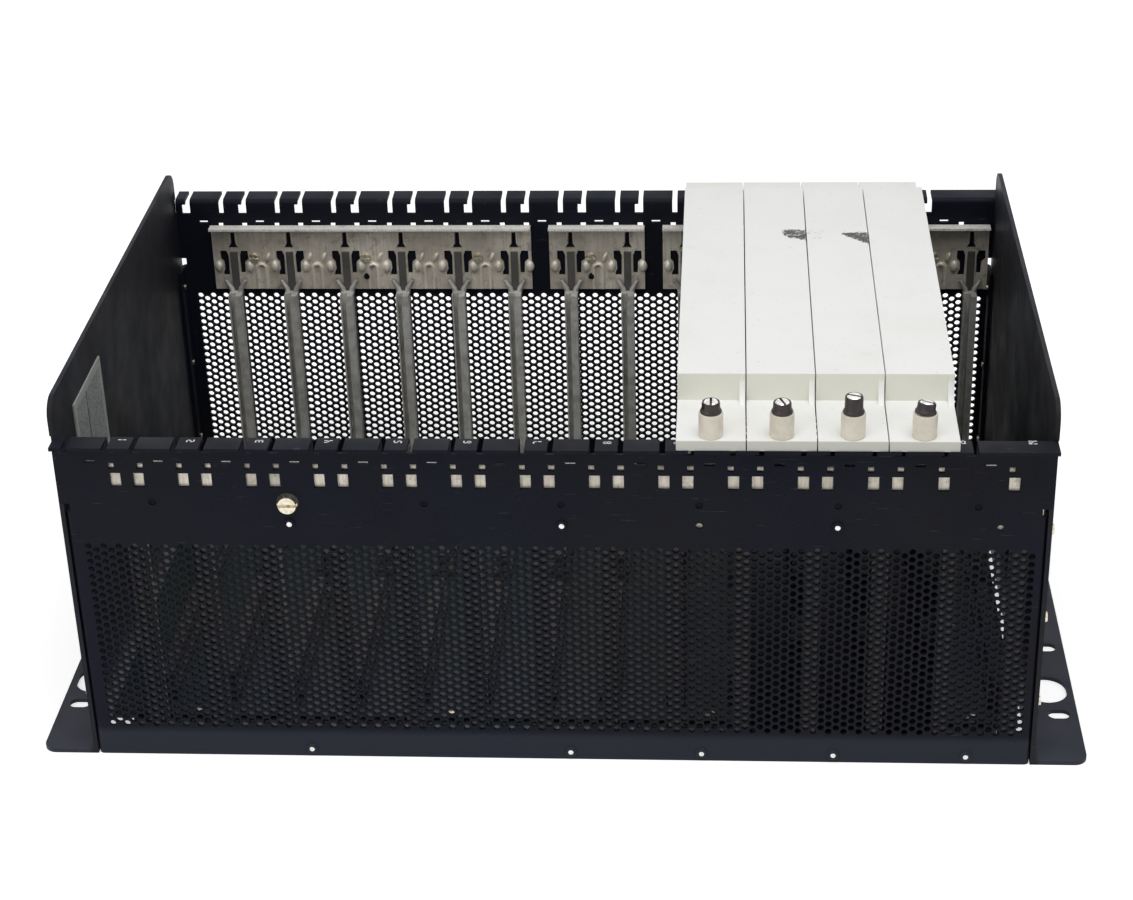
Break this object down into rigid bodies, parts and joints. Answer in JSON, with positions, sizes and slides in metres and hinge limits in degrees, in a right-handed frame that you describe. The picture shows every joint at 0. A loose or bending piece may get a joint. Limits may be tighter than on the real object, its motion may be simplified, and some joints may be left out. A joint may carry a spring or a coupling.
{
  "type": "subrack card cage",
  "caption": "Black folded-steel rack card cage with perforated sides, notched lips, slotted guide strips, card guides and white plug-in modules.",
  "frame": {"origin": "middle of the cage on the rear face of its rack ears", "axes": "+X along the row of card positions, +Y from the front vent plate to the back one, +Z out of the card mouth, the way a module leaves"},
  "size_m": [0.4826, 0.2876, 0.1912],
  "materials": {
    "black_panel": "satin black paint on folded steel",
    "black_vent_plate": "satin black paint on perforated steel",
    "strip_metal": "dull zinc-plated strip",
    "guide_plastic": "moulded grey",
    "backplane_board": "green solder mask",
    "socket_plastic": "moulded cream",
    "rail_metal": "zinc-plated angle",
    "module_white": "satin white paint",
    "circuit_board": "green solder mask",
    "post_cream": "moulded cream",
    "cap_black": "dark moulded, worn on top",
    "screw_metal": "nickel plated",
    "rivet_metal": "bright pop rivet",
    "label_metal": "plain grey plate with a pale border"
  },
  "bodies": {
    "cage": {"left_side_panel": "black_panel", "right_side_panel": "black_panel", "front_vent_plate": "black_vent_plate", "back_vent_plate": "black_vent_plate", "front_strip_left": "strip_metal", "front_strip_middle": "strip_metal", "front_strip_right": "strip_metal", "back_strip_left": "strip_metal", "back_strip_middle": "strip_metal", "back_strip_right": "strip_metal", "front_guide_1": "guide_plastic", "front_guide_2": "guide_plastic", "front_guide_3": "guide_plastic", "front_guide_4": "guide_plastic", "front_guide_5": "guide_plastic", "front_guide_6": "guide_plastic", "front_guide_7": "guide_plastic", "front_guide_8": "guide_plastic", "front_guide_9": "guide_plastic", "front_guide_10": "guide_plastic", "front_guide_11": "guide_plastic", "front_guide_12": "guide_plastic", "front_guide_13": "guide_plastic", "front_guide_14": "guide_plastic", "back_guide_1": "guide_plastic", "back_guide_2": "guide_plastic", "back_guide_3": "guide_plastic", "back_guide_4": "guide_plastic", "back_guide_5": "guide_plastic", "back_guide_6": "guide_plastic", "back_guide_7": "guide_plastic", "back_guide_8": "guide_plastic", "back_guide_9": "guide_plastic", "back_guide_10": "guide_plastic", "back_guide_11": "guide_plastic", "back_guide_12": "guide_plastic", "back_guide_13": "guide_plastic", "back_guide_14": "guide_plastic", "backplane": "backplane_board", "backplane_sockets": "socket_plastic", "backplane_rails": "rail_metal", "cage_screws": "screw_metal", "cage_rivets": "rivet_metal", "label_plate": "label_metal"},
    "module_10": {"module_10_cover": "module_white", "module_10_board": "circuit_board", "module_10_latch_post": "post_cream"},
    "latch_10": {"module_10_latch_cap": "cap_black"},
    "module_11": {"module_11_cover": "module_white", "module_11_board": "circuit_board", "module_11_latch_post": "post_cream"},
    "latch_11": {"module_11_latch_cap": "cap_black"},
    "module_12": {"module_12_cover": "module_white", "module_12_board": "circuit_board", "module_12_latch_post": "post_cream"},
    "latch_12": {"module_12_latch_cap": "cap_black"},
    "module_13": {"module_13_cover": "module_white", "module_13_board": "circuit_board", "module_13_latch_post": "post_cream"},
    "latch_13": {"module_13_latch_cap": "cap_black"}
  },
  "joints": [
    {"name": "module_10_slide", "type": "slide", "parent": "cage", "child": "module_10", "axis": [0, 0, 1], "range_m": [0, 0.09]},
    {"name": "latch_10_turn", "type": "hinge", "parent": "module_10", "child": "latch_10", "pos_m": [0.0698, -0.13745, 0.1831], "axis": [0, 0, 1], "range_deg": [0, 90]},
    {"name": "module_11_slide", "type": "slide", "parent": "cage", "child": "module_11", "axis": [0, 0, 1], "range_m": [0, 0.09]},
    {"name": "latch_11_turn", "type": "hinge", "parent": "module_11", "child": "latch_11", "pos_m": [0.0998, -0.13745, 0.1831], "axis": [0, 0, 1], "range_deg": [0, 90]},
    {"name": "module_12_slide", "type": "slide", "parent": "cage", "child": "module_12", "axis": [0, 0, 1], "range_m": [0, 0.09]},
    {"name": "latch_12_turn", "type": "hinge", "parent": "module_12", "child": "latch_12", "pos_m": [0.1298, -0.13745, 0.1831], "axis": [0, 0, 1], "range_deg": [0, 90]},
    {"name": "module_13_slide", "type": "slide", "parent": "cage", "child": "module_13", "axis": [0, 0, 1], "range_m": [0, 0.09]},
    {"name": "latch_13_turn", "type": "hinge", "parent": "module_13", "child": "latch_13", "pos_m": [0.1598, -0.13745, 0.1831], "axis": [0, 0, 1], "range_deg": [0, 90]}
  ]
}
